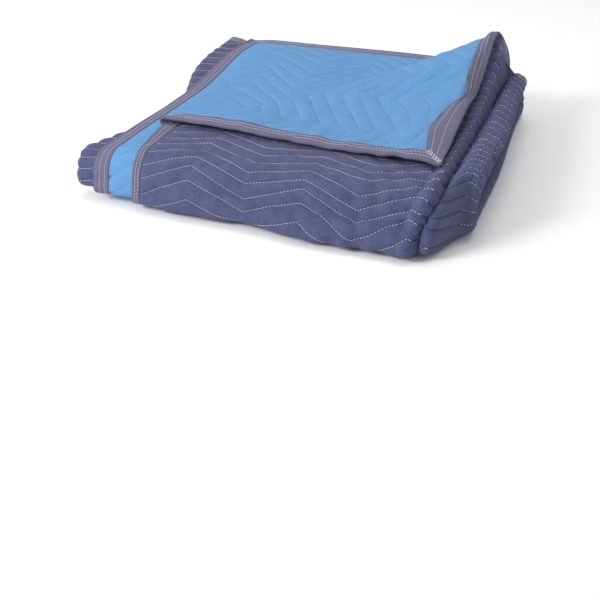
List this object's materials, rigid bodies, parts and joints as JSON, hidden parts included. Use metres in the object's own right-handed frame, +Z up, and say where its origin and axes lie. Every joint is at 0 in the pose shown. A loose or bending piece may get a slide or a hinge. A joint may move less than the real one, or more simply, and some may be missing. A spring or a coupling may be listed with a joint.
{
  "type": "moving blanket",
  "caption": "Quilted moving blanket folded into a thick rectangular pack, with one corner of the top layer turned back to show the lining.",
  "frame": {"origin": "Middle of the footprint's bounding box, on the floor.", "axes": "X across the pack, Y from the round front fold at -Y to the bound back end, Z up."},
  "size_m": [0.5776, 0.6186, 0.1452],
  "materials": {
    "cover": "matte woven cloth, navy",
    "lining": "matte woven cloth, light blue",
    "binding": "matte woven tape, greyish purple"
  },
  "bodies": {
    "root": {"cover": "cover", "lining": "lining", "binding_back_end": "binding", "binding_tucked_end": "binding", "binding_second_layer": "binding", "binding_top_layer": "binding"}
  },
  "joints": []
}
